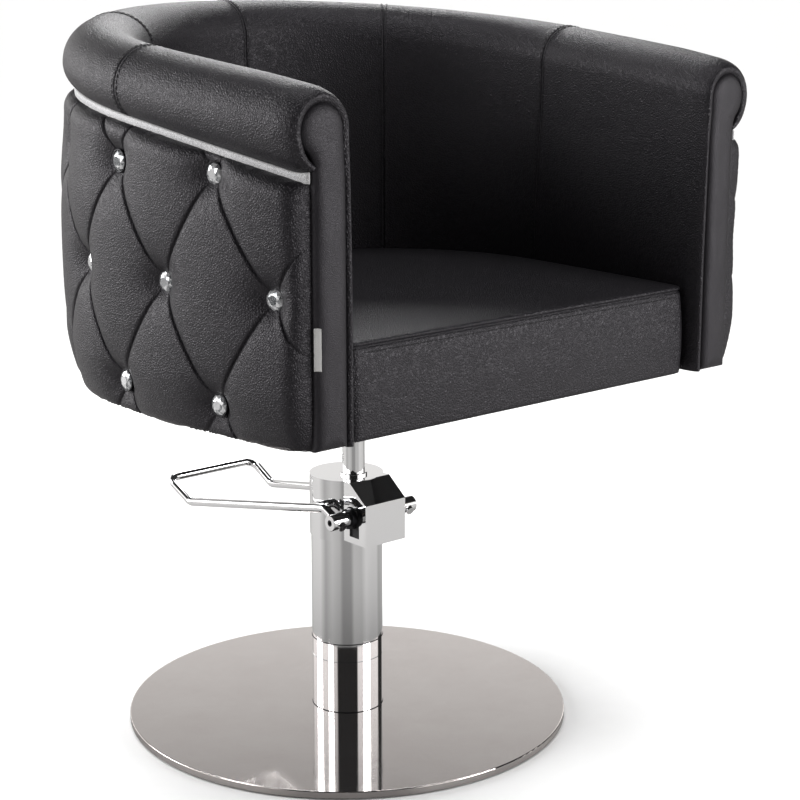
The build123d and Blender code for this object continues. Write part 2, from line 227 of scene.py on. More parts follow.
def finish_piece(piece, body, slot, *nodes):
    """Puts a piece on its body, in place of the CAD nodes it shows."""
    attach(piece, body)
    if nodes:
        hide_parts(*nodes)
    return piece


# ---------------------------------------------------------------- materials

class Shader:
    """Short way to wire a node material."""

    def __init__(self, name):
        self.material = bpy.data.materials.new(name)
        self.material.use_nodes = True
        self.tree = self.material.node_tree
        self.surface = self.tree.nodes["Principled BSDF"]

    def node(self, kind, inputs=None, **settings):
        made = self.tree.nodes.new(kind)
        for key, value in settings.items():
            setattr(made, key, value)
        for key, value in (inputs or {}).items():
            self.join(value, made.inputs[key])
        return made

    def join(self, value, socket):
        if isinstance(value, bpy.types.NodeSocket):
            self.tree.links.new(value, socket)
        else:
            socket.default_value = value

    def set(self, **inputs):
        for key, value in inputs.items():
            self.join(value, self.surface.inputs[key.replace("_", " ")])

    def place(self):
        return self.node("ShaderNodeTexCoord").outputs["Object"]

    def noise(self, vector, scale, detail=3.0, roughness=0.5):
        found = self.node("ShaderNodeTexNoise", {"Vector": vector, "Scale": scale,
                                                 "Detail": detail, "Roughness": roughness})
        return found.outputs["Fac"]

    def ramp(self, value, low, high, to_low, to_high):
        return self.node("ShaderNodeMapRange", {0: value, 1: low, 2: high, 3: to_low, 4: to_high}).outputs[0]

    def mix(self, factor, first, second):
        found = self.node("ShaderNodeMix", data_type="RGBA")
        self.join(factor, found.inputs[0])
        self.join(first, found.inputs[6])
        self.join(second, found.inputs[7])
        return found.outputs[2]

    def bump(self, height, distance, strength=1.0, under=None):
        found = self.node("ShaderNodeBump", {"Height": height, "Distance": distance, "Strength": strength})
        if under is not None:
            self.join(under, found.inputs["Normal"])
        return found.outputs["Normal"]


def leather(name, colour, worn_colour, cell=0.0028, depth=0.00042, roughness=0.45, specular=0.5):
    """Pebble-grained coated leather: raised cells, fine pores, slow tone and gloss changes, and painted shade
    in the valleys between cells.
    """
    shade = Shader(name)
    place = shade.place()
    drift = shade.node("ShaderNodeTexNoise", {"Vector": place, "Scale": 0.35 / cell, "Detail": 2.0})
    shifted = shade.node("ShaderNodeVectorMath", {0: drift.outputs["Color"], 1: (0.5, 0.5, 0.5)},
                         operation="SUBTRACT")
    scaled = shade.node("ShaderNodeVectorMath", {0: shifted.outputs[0], 3: cell * 1.3}, operation="SCALE")
    bent = shade.node("ShaderNodeVectorMath", {0: place, 1: scaled.outputs[0]}, operation="ADD").outputs[0]
    cells = shade.node("ShaderNodeTexVoronoi", {"Vector": bent, "Scale": 1 / cell},
                       feature="DISTANCE_TO_EDGE").outputs["Distance"]
    pebble = shade.node("ShaderNodeMapRange", {0: cells, 1: 0.0, 2: 0.34, 3: 0.0, 4: 1.0},
                        interpolation_type="SMOOTHSTEP").outputs[0]
    pores = shade.noise(place, 2.2 / cell, 2.0)
    slow = shade.noise(place, 9.0, 3.0)
    grain = shade.bump(pebble, depth, 0.9)
    fine = shade.bump(pores, depth * 0.35, 0.6, grain)
    sag = shade.bump(slow, 0.004, 0.25, fine)
    tone = shade.mix(shade.ramp(slow, 0.35, 0.7, 0.0, 1.0), colour, worn_colour)
    # Painted shade: the valleys between the pebbles are darkened toward near black.
    pebble_valley_shade = shade.mix(shade.ramp(pebble, 0.0, 0.6, 0.55, 0.0), tone, (0.004, 0.004, 0.005, 1))
    gloss = shade.ramp(pores, 0.3, 0.7, roughness - 0.06, roughness + 0.08)
    shade.set(Base_Color=pebble_valley_shade, Roughness=gloss, Normal=sag, Specular_IOR_Level=specular)
    shade.set(Specular_Tint=(0.97, 0.93, 1.0, 1))
    return shade.material


def chrome(name, colour=(0.86, 0.86, 0.87, 1), roughness=0.045, smear=0.03):
    """Bright plated metal with faint wipe marks."""
    shade = Shader(name)
    place = shade.place()
    stretched = shade.node("ShaderNodeMapping", {"Vector": place, "Scale": (40.0, 40.0, 6.0)}).outputs[0]
    marks = shade.noise(stretched, 3.0, 5.0, 0.65)
    gloss = shade.ramp(marks, 0.45, 0.75, roughness, roughness + smear)
    waves = shade.noise(place, 60.0, 1.0)
    shade.set(Base_Color=colour, Metallic=1.0, Roughness=gloss, Normal=shade.bump(waves, 0.00002, 0.3))
    return shade.material


def plate_metal():
    """Floor plate: polished stainless with a faint circular polish and light scuffs."""
    shade = Shader("plate_polish")
    place = shade.place()
    rings = shade.node("ShaderNodeTexWave", {"Vector": place, "Scale": 900.0, "Distortion": 1.5},
                       wave_type="RINGS", rings_direction="Z").outputs["Fac"]
    scuffs = shade.noise(place, 14.0, 6.0, 0.7)
    gloss = shade.ramp(scuffs, 0.4, 0.8, 0.035, 0.07)
    tint = shade.mix(shade.ramp(scuffs, 0.3, 0.7, 0.0, 1.0), (0.92, 0.86, 0.845, 1), (0.97, 0.92, 0.905, 1))
    shade.set(Base_Color=tint, Metallic=1.0, Roughness=gloss, Normal=shade.bump(rings, 0.00001, 0.25))
    return shade.material


def plain_metal(name, colour, roughness, metallic=1.0, scale=500.0, depth=0.00004):
    """Machined, cast or painted metal with a fine uneven surface."""
    shade = Shader(name)
    place = shade.place()
    grit = shade.noise(place, scale, 4.0, 0.6)
    stain = shade.noise(place, 45.0, 3.0)
    dark = tuple(channel * 0.7 for channel in colour[:3]) + (1,)
    shade.set(Base_Color=shade.mix(stain, dark, colour), Metallic=metallic,
              Roughness=shade.ramp(grit, 0.3, 0.7, roughness - 0.06, roughness + 0.1),
              Normal=shade.bump(grit, depth, 0.7))
    return shade.material


def crystal_glass():
    """Cut stone, part metallic, with painted reflections: each facet is painted a random light or dark tone,
    and fine painted glints are added.
    """
    shade = Shader("crystal_cut")
    facets = shade.node("ShaderNodeNewGeometry").outputs["Random Per Island"]
    painted_glints = shade.noise(shade.place(), 900.0, 1.0)
    # Painted reflection: each facet island is painted light or dark at random, and noise adds painted glints.
    painted_flash = shade.ramp(facets, 0.25, 0.75, 0.0, 1.0)
    tone = shade.mix(painted_flash, (0.10, 0.11, 0.12, 1), (0.98, 0.98, 1.0, 1))
    tone = shade.mix(shade.ramp(painted_glints, 0.45, 0.60, 0.0, 0.55), tone, (0.75, 0.77, 0.80, 1))
    shade.set(Base_Color=tone, Metallic=0.6, Roughness=0.06, Coat_Weight=1.0, Coat_Roughness=0.02)
    return shade.material


def wood():
    """Birch plywood with a stretched figure."""
    shade = Shader("birch_ply")
    place = shade.node("ShaderNodeMapping", {"Vector": shade.place(), "Scale": (1.0, 12.0, 60.0)}).outputs[0]
    figure = shade.noise(place, 14.0, 6.0, 0.6)
    tint = shade.mix(figure, (0.42, 0.28, 0.15, 1), (0.68, 0.52, 0.33, 1))
    shade.set(Base_Color=tint, Roughness=0.6, Normal=shade.bump(figure, 0.0003, 0.5))
    return shade.material


def woven(name, colour, thread=0.0006):
    """Thin woven cloth: two crossed thread directions."""
    shade = Shader(name)
    place = shade.place()
    weave = []
    for direction in ("X", "Z"):
        wave = shade.node("ShaderNodeTexWave", {"Vector": place, "Scale": 0.3 / thread, "Distortion": 0.6},
                          bands_direction=direction)
        weave.append(wave.outputs["Fac"])
    crossed = shade.node("ShaderNodeMath", {0: weave[0], 1: weave[1]}, operation="MULTIPLY").outputs[0]
    dark = tuple(channel * 0.75 for channel in colour[:3]) + (1,)
    shade.set(Base_Color=shade.mix(crossed, dark, colour), Roughness=0.9,
              Normal=shade.bump(crossed, 0.0002, 0.6))
    return shade.material


def rubber():
    """Dull black rubber."""
    shade = Shader("pad_rubber")
    grit = shade.noise(shade.place(), 900.0, 4.0, 0.7)
    shade.set(Base_Color=shade.mix(grit, (0.012, 0.012, 0.012, 1), (0.03, 0.03, 0.03, 1)), Roughness=0.8,
              Normal=shade.bump(grit, 0.0002, 0.5))
    return shade.material


black = leather("black_pebble", (0.0085, 0.0076, 0.0100, 1), (0.0120, 0.0106, 0.0136, 1))
smooth_black = leather("black_fine", (0.0090, 0.0080, 0.0105, 1), (0.0125, 0.0110, 0.0140, 1),
                       cell=0.0016, depth=0.00014, roughness=0.46)
white = leather("white_fine", (0.90, 0.90, 0.91, 1), (0.93, 0.93, 0.94, 1), cell=0.0012, depth=0.00006)
thread = woven("black_thread", (0.010, 0.010, 0.011, 1), 0.0003)
bright = chrome("bright_chrome")
plate = plate_metal()
dark_steel = plain_metal("black_oxide", (0.035, 0.035, 0.038, 1), 0.32)
casting = plain_metal("dark_casting", (0.05, 0.05, 0.052, 1), 0.6, 0.6, 240.0, 0.0002)
bare_steel = plain_metal("ground_steel", (0.52, 0.52, 0.53, 1), 0.3)
bronze = plain_metal("turned_bronze", (0.55, 0.36, 0.16, 1), 0.32)
satin_paint = plain_metal("satin_paint", (0.018, 0.018, 0.019, 1), 0.42, 0.0, 700.0, 0.00006)
crystal = crystal_glass()
plywood = wood()
lining = woven("black_lining", (0.016, 0.016, 0.017, 1), 0.0012)
tag_cloth = woven("tag_weave", (0.94, 0.93, 0.92, 1), 0.0005)
pad_rubber = rubber()

NODE_FINISH = {
    "base_plate": plate, "base_pad": pad_rubber, "base_screws": dark_steel, "column_foot": bright,
    "column_tube": bright, "pump_cover": bright, "pump_head": casting, "pump_cylinder": bare_steel,
    "guide_bush": bronze, "wiper_ring": bright, "plunger_barrel": bare_steel,
    "release_valve": bare_steel, "plunger": bare_steel, "pivot_shaft": bright, "pedal_loop": bright,
    "grub_screws": dark_steel, "shaft_collars": dark_steel, "pump_cam": dark_steel,
    "piston_head": bare_steel, "piston_seal": pad_rubber, "thrust_washer": bronze,
    "piston_rod": bright, "seat_bracket": satin_paint, "clamp_screws": dark_steel,
    "seat_bolts": dark_steel, "seat_board": plywood, "shell_frame": plywood,
}


def finish_cad_nodes():
    """Gives the hard CAD nodes their metals, paints and woods."""
    for node, material in NODE_FINISH.items():
        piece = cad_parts[node]
        for place in piece.material_slots:
            place.material = material


def painted_joint_shadows():
    """Dark rings painted as shadow lines where the column meets the plate and where its two parts meet."""
    steps, ring = 120, 10
    turns = np.linspace(0, 2 * math.pi, steps, endpoint=False)
    around = np.linspace(0, 2 * math.pi, ring, endpoint=False)
    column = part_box("column_foot")[1]
    radius = column.x + 0.0001 + 0.0005 * np.cos(around)
    for name, height in (("foot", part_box("base_plate")[1].z + 0.0002), ("collar", column.z)):
        points = np.stack([np.outer(np.cos(turns), radius), np.outer(np.sin(turns), radius),
                           np.broadcast_to(height + 0.0006 * np.sin(around), (steps, ring))], axis=-1)
        faces = grid_faces(steps, ring, close_rows=True, close_columns=True)
        # Painted shadow: a thin dark ring stands in for the shade in the joint.
        line = new_object("column_joint_shadow_" + name, points.reshape(-1, 3), faces, dark_steel)
        finish_piece(close_ends(line), "base", "dark_steel")


# ---------------------------------------------------------------- tufted outer panel

def puff_out(first, second):
    """How far the padding stands out from the button level at diamond coordinates."""
    nearest = np.full(first.shape, 1.0)
    for corner_first in (np.floor(first), np.floor(first) + 1):
        for corner_second in (np.floor(second), np.floor(second) + 1):
            along = (first - corner_first + second - corner_second) * PITCH / 2
            height = (first - corner_first - second + corner_second) * ROW_GAP
            nearest = np.minimum(nearest, np.hypot(along, height))
    dimple = np.exp(-(np.maximum(nearest - BUTTON_FLAT, 0) / DIMPLE_REACH) ** 1.2)
    square = PITCH * ROW_GAP / math.hypot(PITCH / 2, ROW_GAP)
    offset_first = (first - np.round(first)) * square
    offset_second = (second - np.round(second)) * square
    gap = np.minimum(np.abs(offset_first), np.abs(offset_second))
    pillow = (np.abs(np.sin(math.pi * first)) * np.abs(np.sin(math.pi * second))) ** 0.6
    crease = CREASE_DEPTH * np.exp(-(gap / CREASE_WIDTH) ** 1.2) + 0.0016 * np.exp(-gap / 0.007)
    lap = 0.0
    for offset in (offset_first, offset_second):
        lap = lap + LAP * np.exp(-np.abs(offset) / 0.006) * np.tanh(offset / 0.0006)
    settled = 1 - np.exp(-(nearest / 0.022) ** 2)
    return PUFF * (1 - dimple) + PILLOW * pillow + (lap - crease) * settled


def edge_ease(distance, width):
    """Quarter-round ease from 0 at an edge to 1 a width away from it."""
    share = np.clip(distance / width, 0, 1)
    return np.sqrt(1 - (1 - share) ** 2)


def pleat_stations(low, high):
    """Diamond coordinates from low to high, bunched at the pleats."""
    whole = np.arange(PLEAT_STEPS) / PLEAT_STEPS
    bunched = whole - 0.82 * np.sin(2 * math.pi * whole) / (2 * math.pi)
    return np.concatenate([cell + bunched for cell in range(math.floor(low), math.ceil(high))])


def outer_panel():
    """Tufted leather on a mesh that runs along the pleats and tucks in behind every edge."""
    reach = END / (PITCH / 2) + 0.5
    stations = pleat_stations(-reach / 2 - 1, reach / 2 + 1)
    first, second = np.meshgrid(stations, stations, indexing="ij")
    along = (first + second) * PITCH / 2
    height = MIDDLE_ROW_Z + (first - second) * ROW_GAP
    front = END - PANEL_SETBACK
    inner_along = np.clip(along, -front, front)
    x, y, normal_x, normal_y = outline(inner_along, *BUTTON_WALL)
    top = piping_bottom(y) + 0.002
    level = np.clip(height, TUB_BOTTOM, top)
    over_edge = np.abs(height - level)
    over_front = np.abs(along) - front
    from_top, from_bottom, from_front = top - level, level - TUB_BOTTOM, np.maximum(-over_front, 0)
    rearward = smooth(-0.25, 0.08, y)
    crest = PUFF + 0.0015
    under_piping = 0.0165 * (1 - edge_ease(from_top, 0.020))
    lean_in = 0.0065 * rearward * (1 - smooth(0.02, 0.108, from_top))
    taper = 0.013 * np.clip(1 - from_bottom / 0.060, 0, 1) ** 1.6
    bottom_round = 0.006 * (1 - edge_ease(from_bottom, 0.012))
    front_round = 0.0190 * (1 - edge_ease(from_front, 0.017))
    drop = under_piping + lean_in + taper + bottom_round + front_round
    puff = puff_out(first, second) - crest
    keep = edge_ease(from_front, 0.02) * edge_ease(from_top, 0.012) * edge_ease(from_bottom, 0.014)
    out = crest + puff * (0.25 + 0.75 * keep) - drop
    out -= np.minimum(over_edge, PANEL_TUCK) + np.clip(over_front, 0, FRONT_TUCK)
    points = np.stack([x + normal_x * out, y + normal_y * np.where(over_front > 0, 0, out), level], axis=-1)
    points[..., 2] += np.where(height < TUB_BOTTOM, 0.001, 0)
    inside = (over_edge < PANEL_TUCK + 0.006) & (over_front < FRONT_TUCK + 0.006)
    rows, columns = first.shape
    used = inside[:-1, :-1] & inside[1:, :-1] & inside[:-1, 1:] & inside[1:, 1:]
    index = np.arange(rows * columns).reshape(rows, columns)
    quads = np.stack([index[:-1, :-1][used], index[1:, :-1][used],
                      index[1:, 1:][used], index[:-1, 1:][used]], axis=-1)
    kept, packed = np.unique(quads, return_inverse=True)
    faces = packed.reshape(-1, 4).tolist()
    piece = new_object("outer_panel_leather", points.reshape(-1, 3)[kept], faces, black)
    return finish_piece(piece, "seat", "black_leather", "outer_panel")


# ---------------------------------------------------------------- inside, roll and rolled arm fronts

def seam_groove(along):
    """Depth of the closed seam: a narrow valley with a slight swell on either side."""
    depth = np.zeros_like(along)
    for place in SEAM_PLACES:
        near = np.abs(along - place)
        depth += -0.0013 * np.exp(-(near / 0.0009) ** 2) + 0.0006 * np.exp(-((near - 0.0028) / 0.0018) ** 2)
    return depth


def section(along, inset=0.0, depth=None):
    """Profile of the inside and roll at one place along the tub: points and outward directions.

    An inset shrinks the profile for the rolled lip, and a depth is the y that it is moved to.
    """
    path_x, path_y, normal_x, normal_y = (float(v) for v in outline(along, *ROLL_PATH))
    foot_x, foot_y, _, _ = (float(v) for v in outline(along, *WALL_FOOT))
    pipe_x, pipe_y, _, _ = (float(v) for v in outline(along, *PIPING))
    back = float(smooth(FRONT_Y, -0.10, path_y))
    slimming = ROLL_SLIMMING * (1 - float(smooth(0.0, 0.10, path_y - FRONT_Y)))
    centre_z = float(roll_height(path_y))
    inner = ROLL_INNER[0] + ROLL_INNER[1] * back - slimming
    outer = ROLL_OUTER[0] + ROLL_OUTER[1] * back - slimming
    above = ROLL_HEIGHT - slimming
    reach = (pipe_x - path_x) * normal_x + (pipe_y - path_y) * normal_y
    reach -= max(0.0, reach - NECK_REACH) * inset / LIP_INSET
    last = -math.acos(max(-1, min(1, reach / (outer - inset))))
    pipe_top = float(piping_bottom(pipe_y)) + PIPING_HEIGHT
    below = (centre_z - pipe_top) / max(0.2, -math.sin(last)) - 0.6 * inset
    wall_foot = (foot_x - path_x) * normal_x + (foot_y - path_y) * normal_y
    points, facing = [], []
    wall_inset = inset * WALL_LIP
    for share in np.linspace(0, 1, WALL_STEPS, endpoint=False):
        z = TUB_BOTTOM + 0.0005 + (centre_z - TUB_BOTTOM - 0.0005) * share
        ease = float(smooth(0.35, 1.0, share))
        blend = float(smooth(0.80, 1.0, share))
        belly = WALL_BELLY * math.sin(math.pi * min(1, share / 0.8)) * back
        offset = wall_foot + (-inner - wall_foot) * ease - belly
        points.append((offset + wall_inset + (inset - wall_inset) * blend, z))
        facing.append((-1.0, 0.0))
    for share in np.linspace(0, 1, ROLL_STEPS):
        turn = math.pi + (last - math.pi) * share
        wide = (inner if math.cos(turn) < 0 else outer) - inset
        tall = above - inset if math.sin(turn) > 0 else below
        points.append((math.cos(turn) * wide, centre_z + math.sin(turn) * tall))
        facing.append((math.cos(turn), math.sin(turn)))
    points, facing = np.array(points), np.array(facing)
    y_place = path_y if depth is None else depth
    skew = 1.0 if depth is None else float(np.clip((depth - FRONT_Y) / LIP_DEPTH, 0, 1))
    spots = np.stack([path_x + normal_x * points[:, 0], y_place + normal_y * points[:, 0] * skew,
                      points[:, 1]], axis=-1)
    outward = np.stack([normal_x * facing[:, 0], normal_y * facing[:, 0], facing[:, 1]], axis=-1)
    return spots, outward


def lip_stations():
    """Inset and depth of the leather as it rolls over the arm's front edge and into the seam."""
    over = [(LIP_CREST * (1 - math.cos(t)), LIP_DEPTH * (1 - math.sin(t)))
            for t in np.linspace(0.12, math.pi / 2, 13)]
    back = LIP_INSET - LIP_CREST
    over += [(LIP_CREST + back * math.sin(t), back * 0.8 * (1 - math.cos(t)))
             for t in np.linspace(0.15, math.pi / 2, 9)]
    return over + [(LIP_INSET + 0.0002, 0.012), (LIP_INSET + 0.0003, 0.020)]


def gathers(turns, strength):
    """Fine irregular radial wrinkles where the leather is gathered around the head of the arm."""
    wave = np.sin(turns * 61) + 0.7 * np.sin(turns * 97 + 1.7) + 0.5 * np.sin(turns * 139 + 0.6)
    return 0.00011 * wave * strength


def inside_and_roll():
    """Leather up the inner wall, over the roll to the piping, and rolled over both arm fronts."""
    start = END - LIP_DEPTH
    along = spread(-start, start, 0.0045, SEAM_PLACES)
    groove = seam_groove(along)
    rows = []
    for place, depth in zip(along, groove):
        spots, outward = section(place)
        rows.append(spots + outward * depth)
    for inset, behind in lip_stations():
        spots, _ = section(END - 0.002 - 0.93 * behind, inset, FRONT_Y + 0.0010 + behind)
        turns = np.arctan2(spots[:, 2] - ROLL_FRONT_Z, spots[:, 0] - HEAD_X)
        on_head = smooth(-0.035, 0.0, spots[:, 2] - ROLL_FRONT_Z) * math.exp(-((inset - 0.0085) / 0.005) ** 2)
        wrinkle = gathers(turns, on_head * smooth(-0.5, 0.2, np.abs(turns)))
        spots = spots + np.array([0, -1, 0]) * wrinkle[:, None]
        rows.append(spots)
        rows.insert(0, spots * np.array([-1, 1, 1]))
    points = np.array(rows)
    piece = grid_object("inside_and_roll_leather", points, black, flip=True)
    return finish_piece(piece, "seat", "black_leather", "inner_pad", "top_roll", "arm_welt_left",
                        "arm_welt_right")


# ---------------------------------------------------------------- arm fronts

def facing_outline():
    """Edge of the flat arm panel in x and z, anticlockwise from the inner side of its head."""
    low, high = FACING_EDGES
    inner = HEAD_X - HEAD_RADIUS
    foot = TUB_BOTTOM + 0.001
    points = []
    for z in np.linspace(ROLL_FRONT_Z, foot, 60, endpoint=False):
        share = float(smooth(ROLL_FRONT_Z - 0.06, ROLL_FRONT_Z, z))
        points.append((low + (inner - low) * share, z))
    points += [(x, foot) for x in np.linspace(low, high, 12, endpoint=False)]
    points += [(high, z) for z in np.linspace(foot, NECK_Z, 56, endpoint=False)]
    head = [(HEAD_X + HEAD_RADIUS * math.cos(turn), ROLL_FRONT_Z + HEAD_RADIUS * math.sin(turn))
            for turn in np.linspace(-0.85, math.pi, 90, endpoint=False)]
    for share in np.linspace(0, 1, 8, endpoint=False):
        swing = share * share
        points.append((high + (head[0][0] - high) * swing, NECK_Z + (head[0][1] - NECK_Z) * share))
    return np.array(points + head)


def arm_facing(side):
    """Padded panel on the front of an arm, crowned, with its edge down in the seam."""
    edge = facing_outline()
    spine_z = np.clip(np.round(edge[:, 1] / 0.006) * 0.006, TUB_BOTTOM + 0.018, ROLL_FRONT_Z)
    spine_x = np.interp(spine_z, (ROLL_FRONT_Z - 0.07, ROLL_FRONT_Z), (0.2893, HEAD_X))
    spine = np.stack([spine_x, spine_z], axis=-1)
    rows = []
    for sink in (0.018, 0.010):
        rows.append(np.stack([side * edge[:, 0], np.full(len(edge), FRONT_Y + sink), edge[:, 1]], axis=-1))
    for share in np.linspace(0, 1, 26) ** 1.5:
        flat = edge + (spine - edge) * share
        rise = 0.0087 * (1 - (1 - share) ** 3.4) ** 0.5
        slack = 0.0003 * np.sin(flat[:, 1] * 70 + 2.0 * share)
        depth = FRONT_Y + 0.0068 - rise + slack * share
        rows.append(np.stack([side * flat[:, 0], depth, flat[:, 1]], axis=-1))
    name = "arm_facing_" + ("right" if side > 0 else "left")
    piece = close_ends(grid_object(name + "_leather", np.array(rows), smooth_black, close_columns=True))
    return finish_piece(piece, "seat", "black_leather", name)


# ---------------------------------------------------------------- piping, buttons, tag

def roll_piping():
    """White band under the roll, thin where it ends at the arm fronts."""
    along = np.linspace(-END + 0.0045, END - 0.0045, 460)
    x, y, normal_x, normal_y = outline(along, *PIPING)
    flare = 0.0022 * np.clip(1 - (y - FRONT_Y) / 0.022, 0, 1)
    centres = np.stack([x, y, piping_bottom(y) + PIPING_HEIGHT / 2 + flare / 2], axis=-1)
    out = np.stack([normal_x, normal_y, np.zeros_like(x)], axis=-1)
    up = np.broadcast_to(np.array([0.0, 0.0, 1.0]), centres.shape)
    half_up = (PIPING_HEIGHT / 2 + flare / 2 + 0.0006)[:, None]
    half_out = (0.0014 + 0.0018 * smooth(0.0, 0.014, y - y.min()))[:, None]
    piece = tube("roll_piping_white", centres, out, up, half_out, half_up, white, ring=24, power=3.2)
    return finish_piece(piece, "seat", "white_leather", "roll_piping")


def button_frames():
    """Matrix of every button: origin on the wall, z axis straight out."""
    for row in (1, 0, -1):
        for column in range(-11, 12):
            along = column * PITCH / 2
            if (row + column) % 2 or abs(along) > END - 0.03:
                continue
            x, y, normal_x, normal_y = (float(v) for v in outline(along, *BUTTON_WALL))
            out = Vector((normal_x, normal_y, 0))
            side = Vector((0, 0, 1)).cross(out)
            turn = Matrix((side, Vector((0, 0, 1)), out)).transposed().to_4x4()
            origin = Vector((x, y, MIDDLE_ROW_Z + row * ROW_GAP)) + out * 0.0006
            yield Matrix.Translation(origin) @ turn


def gem_facets(sides=10):
    """Brilliant-cut crown as separate facets: girdle, lower kites, upper kites, stars and table."""
    def ring(radius, height, shift):
        return [Vector((radius * math.cos(2 * math.pi * (step + shift) / sides),
                        radius * math.sin(2 * math.pi * (step + shift) / sides), height))
                for step in range(sides)]
    foot, girdle = ring(1.0, 0.0, 0.0), ring(1.0, 0.06, 0.0)
    shoulder, upper, table = ring(0.84, 0.20, 0.5), ring(0.66, 0.29, 0.0), ring(0.46, 0.35, 0.5)
    facets = [foot[::-1], table]
    for step in range(sides):
        after = (step + 1) % sides
        facets += [(foot[step], foot[after], girdle[after], girdle[step]),
                   (girdle[step], girdle[after], shoulder[step]),
                   (girdle[after], upper[after], shoulder[step]),
                   (girdle[after], shoulder[after], upper[after]),
                   (shoulder[step], upper[after], upper[step]),
                   (upper[step], upper[after], table[step]),
                   (upper[after], table[after], table[step])]
    return facets


def crystal_buttons():
    """Cut stones; every facet is its own island so that each gets its own painted light or dark tone."""
    facets = gem_facets()
    vertices, faces = [], []
    for place in button_frames():
        twist = Matrix.Rotation(random.uniform(0, math.pi), 4, "Z")
        for facet in facets:
            start = len(vertices)
            for corner in facet:
                spot = corner * (BUTTON_RADIUS - 0.0010)
                vertices.append(place @ twist @ (spot + Vector((0, 0, 0.0022))))
            faces.append(tuple(range(start, start + len(facet))))
    piece = new_object("crystal_buttons_cut", vertices, faces, crystal, smooth_shading=False)
    return finish_piece(piece, "seat", "crystal", "crystal_buttons")


def button_settings():
    """Dark dished cup around each stone."""
    profile = ((0.30, -0.001), (0.98, -0.001), (1.04, 0.0010), (1.05, 0.0026), (1.01, 0.0034), (0.94, 0.0030),
               (0.88, 0.0018))
    ring = 36
    vertices, faces = [], []
    for place in button_frames():
        start = len(vertices)
        for radius, height in profile:
            for step in range(ring):
                turn = 2 * math.pi * step / ring
                spot = Vector((math.cos(turn) * radius, math.sin(turn) * radius, 0)) * BUTTON_RADIUS
                vertices.append(place @ (spot + Vector((0, 0, height))))
        faces += [tuple(start + i for i in face)
                  for face in grid_faces(len(profile), ring, close_columns=True)]
    piece = close_ends(new_object("button_settings_dark", vertices, faces, dark_steel))
    return finish_piece(piece, "seat", "dark_steel", "button_settings")


TAG_FOOT = 0.541
TAG_HEIGHT = 0.043


def side_tag():
    """Small blank cloth tag caught in the seam of one arm and folded flat against its front."""
    rows, columns = 30, 12
    points = np.zeros((rows, columns, 3))
    for row in range(rows):
        for column in range(columns):
            across = column / (columns - 1)
            height = TAG_FOOT + TAG_HEIGHT * row / (rows - 1) + 0.0006 * math.sin(across * 3)
            curl = 0.0004 * math.sin(across * 3.1) + 0.0003 * math.sin(row * 0.45)
            points[row, column] = (-FACING_EDGES[1] - 0.0010 + 0.0044 * across - curl,
                                   FRONT_Y + 0.0034 - 0.0066 * across - curl, height)
    piece = grid_object("side_tag_cloth", points, tag_cloth)
    thick = piece.modifiers.new("body", "SOLIDIFY")
    thick.thickness = 0.0006
    return finish_piece(piece, "seat", "tag_fabric", "side_tag")


# ---------------------------------------------------------------- seat cushion

CUSHION_FRONT_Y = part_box("seat_cushion")[0].y
CUSHION_CORNER = 0.014
CUSHION_FOOT = 0.475


def cushion_edge():
    """Plan outline of the cushion with rounded front corners, anticlockwise, and its outward direction."""
    front_along = QUARTER + (TUB_CENTRE_Y - CUSHION_FRONT_Y) - CUSHION_CORNER
    along = np.linspace(front_along, -front_along, 250)
    x, y, normal_x, normal_y = outline(along, *CUSHION)
    half = abs(float(x[0]))
    turns = np.linspace(0, math.pi / 2, 14)[1:]
    centre_x, centre_y = half - CUSHION_CORNER, float(y[0])
    corner = np.stack([centre_x + CUSHION_CORNER * np.cos(turns),
                       centre_y - CUSHION_CORNER * np.sin(turns)], -1)
    outward = np.stack([np.cos(turns), -np.sin(turns)], -1)
    front_x = np.linspace(-centre_x, centre_x, 96)[1:-1]
    front = np.stack([front_x, np.full(len(front_x), centre_y - CUSHION_CORNER)], -1)
    forward = np.tile([[0.0, -1.0]], (len(front_x), 1))
    mirror = np.array([-1, 1])
    edge = np.concatenate([np.stack([x, y], -1), corner * mirror, front, corner[::-1]])
    away = np.concatenate([np.stack([normal_x, normal_y], -1), outward * mirror, forward, outward[::-1]])
    return edge, away


# Rows of points: up the border, across the seam's rim, and over the top to its middle
BORDER_ROWS = (0.02, 0.06, 0.12, 0.2, 0.3, 0.4, 0.5, 0.6, 0.7, 0.8, 0.88, 0.94, 0.975, 0.99)
RIM_ROWS = ((0.0052, 0.0), (0.0046, 0.0012), (0.0026, 0.0022), (0.0022, 0.0038), (0.0030, 0.0052),
            (0.0050, 0.0061), (0.0080, 0.0064), (0.0120, 0.0066))    # inset and height above the seam
TOP_ROWS = (0.03, 0.07, 0.13, 0.2, 0.28, 0.36, 0.44, 0.52, 0.6, 0.68, 0.76, 0.84, 0.92, 0.97, 1.0)
CROWN = 0.0055                     # how much higher the middle of the top is than its rim


